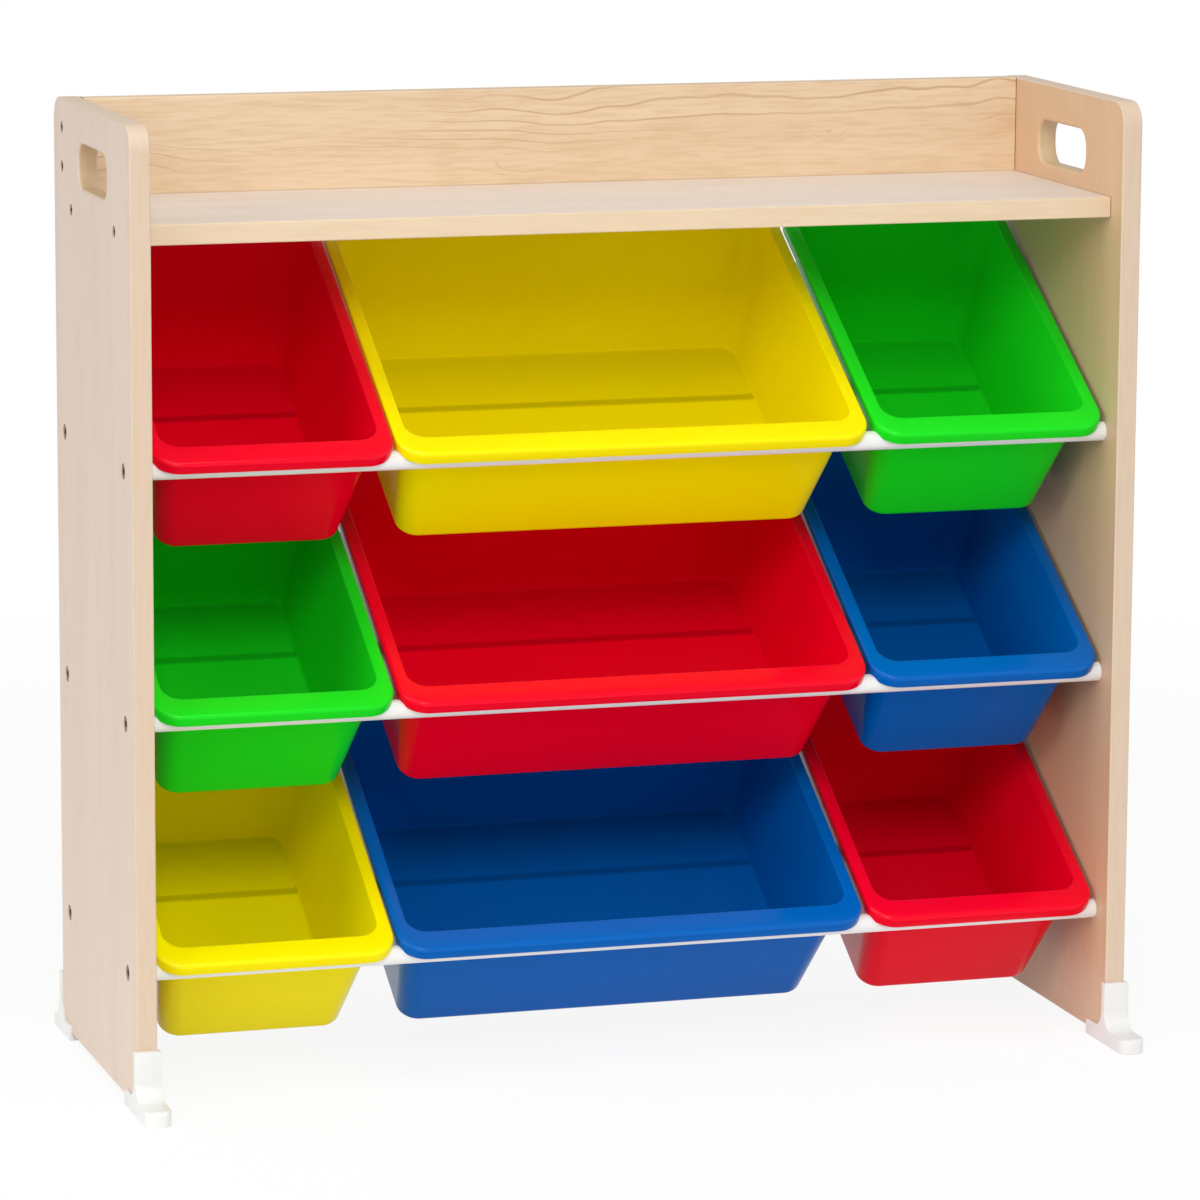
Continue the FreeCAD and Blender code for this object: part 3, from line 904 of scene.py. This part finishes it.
class ORGANIZER_OT_bins(Operator):
    """Models a small and a large bin and hangs nine of them on the rods"""
    bl_idname = "organizer.bins"
    bl_label = "Bins"

    def execute(self, context):
        settings = context.scene.organizer_bins
        materials = {}
        for seed, name in enumerate(("red", "yellow", "green", "blue")):
            base = tuple(getattr(settings, name))
            materials[name] = plastic(
                name + "_polypropylene", base, settings.gloss, settings.shine, seed + 3.0,
                bin_settings=settings)
        small = model_bin(settings, settings.small_width, "small_bin")
        large = model_bin(settings, settings.large_width, "large_bin")
        for (row, column), name in BIN_COLOURS.items():
            piece, node = place_bin(large if column == "middle" else small, row, column)
            dress(piece, materials[name])
            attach(piece, node)
            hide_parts(node)
        bpy.data.objects.remove(small)
        bpy.data.objects.remove(large)
        return {"FINISHED"}


FLOOR_SIZE = 60.0
# Level distances from the middle at which the floor starts and ends its change of colour.
FLOOR_NEAR_ENDS, FLOOR_FAR_STARTS = 0.6, 2.2
# How much of the floor that the camera sees is plain white paper, near the unit.
PAPER_SHARE = 0.89
# Area lamps: setting with the power, size, place and target.
LAMPS = (
    ("key", 1.2, (-0.8, -3.5, 2.4), (0.0, 0.0, 0.4)),
    ("top", 1.4, (-0.3, -1.2, 3.6), (0.0, 0.0, 0.6)),
    ("left", 2.0, (-3.2, -1.0, 1.4), (0.0, 0.0, 0.4)),
    ("right", 2.0, (2.6, -2.2, 1.6), (0.0, 0.0, 0.4)),
)
SENSOR_WIDTH = 36.0


class ORGANIZER_OT_stage(Operator):
    """Sets the floor, the lamps, the surround and the camera"""
    bl_idname = "organizer.stage"
    bl_label = "Stage"

    def execute(self, context):
        settings = context.scene.organizer_stage
        deselect_all()
        bpy.ops.mesh.primitive_plane_add(size=FLOOR_SIZE)
        floor = context.object
        floor.name = "floor"
        finish = Finish("floor_paper")
        x, y, _ = finish.axes()
        distance = (x * x + y * y) ** 0.5
        span = 4.0
        far = finish.ramp(
            distance * (1 / span), (FLOOR_NEAR_ENDS / span, 0.0), (FLOOR_FAR_STARTS / span, 1.0))
        finish.set(
            Base_Color=finish.blend(far, tuple(settings.floor_near), tuple(settings.floor_far)),
            Roughness=0.9)
        paths = [finish.node("ShaderNodeLightPath", output=index) for index in RAY_OUTPUTS]
        seen = (paths[0] + paths[1] + paths[2]).clamped()
        paper = finish.node("ShaderNodeEmission", inputs={"Color": WHITE, "Strength": 1.0})
        mix = finish.node("ShaderNodeMixShader", inputs={
            0: seen * (PAPER_SHARE + far * (1 - PAPER_SHARE)), 1: finish.shader.outputs[0], 2: paper})
        finish.feed(finish.tree.nodes["Material Output"].inputs["Surface"], mix)
        dress(floor, finish.material)
        self.add_surround(context, settings)
        for name, size, place, target in LAMPS:
            self.add_lamp(name + "_lamp", getattr(settings, name), size, place, target)
        self.add_camera(context, settings)
        return {"FINISHED"}

    def add_surround(self, context, settings):
        world = bpy.data.worlds.new("studio")
        context.scene.world = world
        world.use_nodes = True
        tree = world.node_tree
        background = tree.nodes["Background"]
        background.inputs["Color"].default_value = (*WHITE, 1.0)
        background.inputs["Strength"].default_value = settings.surround

    def add_lamp(self, name, power, size, place, target):
        bpy.ops.object.light_add(type="AREA", location=place)
        lamp = bpy.context.object
        lamp.name = name
        lamp.data.energy = power
        lamp.data.size = size
        aim = Vector(target) - Vector(place)
        lamp.rotation_euler = aim.to_track_quat("-Z", "Y").to_euler()

    def add_camera(self, context, settings):
        bpy.ops.object.camera_add(location=settings.camera_place)
        camera = context.object
        camera.name = "camera"
        turn, drop = settings.camera_turn, settings.camera_drop
        ahead = Vector((
            math.sin(turn) * math.cos(drop), math.cos(turn) * math.cos(drop), -math.sin(drop)))
        right = ahead.cross(Vector((0, 0, 1))).normalized()
        up = right.cross(ahead)
        roll = settings.camera_roll
        level = right * math.cos(roll) + up * math.sin(roll)
        upright = up * math.cos(roll) - right * math.sin(roll)
        axes = Matrix((level, upright, -ahead)).transposed().to_4x4()
        camera.matrix_world = Matrix.Translation(settings.camera_place) @ axes
        camera.data.lens = settings.lens
        camera.data.sensor_width = SENSOR_WIDTH
        camera.data.sensor_fit = "HORIZONTAL"
        camera.data.clip_end = 100.0
        context.scene.camera = camera
        context.scene.view_settings.view_transform = "Standard"


class ORGANIZER_PT_sidebar(Panel):
    """Lists the organizer's pieces"""
    bl_idname = "ORGANIZER_PT_sidebar"
    bl_label = "Toy Storage Organizer"
    bl_space_type = "VIEW_3D"
    bl_region_type = "UI"
    bl_category = "Organizer"

    def draw(self, context):
        for settings_name, operator in STEPS:
            box = self.layout.box()
            box.operator(operator.bl_idname, text=operator.bl_label)
            settings = getattr(context.scene, settings_name)
            for key in settings.__annotations__:
                box.prop(settings, key)


STEPS = (
    ("organizer_boards", ORGANIZER_OT_boards),
    ("organizer_rods", ORGANIZER_OT_rods),
    ("organizer_feet", ORGANIZER_OT_feet),
    ("organizer_bins", ORGANIZER_OT_bins),
    ("organizer_stage", ORGANIZER_OT_stage),
)
SETTINGS = {
    "organizer_boards": BoardSettings,
    "organizer_rods": RodSettings,
    "organizer_feet": FootSettings,
    "organizer_bins": BinSettings,
    "organizer_stage": StageSettings,
}


def register():
    for name, group in SETTINGS.items():
        bpy.utils.register_class(group)
        setattr(bpy.types.Scene, name, PointerProperty(type=group))
    for _, operator in STEPS:
        bpy.utils.register_class(operator)
    bpy.utils.register_class(ORGANIZER_PT_sidebar)


def unregister():
    bpy.utils.unregister_class(ORGANIZER_PT_sidebar)
    for _, operator in reversed(STEPS):
        bpy.utils.unregister_class(operator)
    for name, group in reversed(list(SETTINGS.items())):
        delattr(bpy.types.Scene, name)
        bpy.utils.unregister_class(group)


def main():
    register()
    bpy.ops.organizer.boards()
    bpy.ops.organizer.rods()
    bpy.ops.organizer.feet()
    bpy.ops.organizer.bins()
    bpy.ops.organizer.stage()


if __name__ == "__main__":
    main()
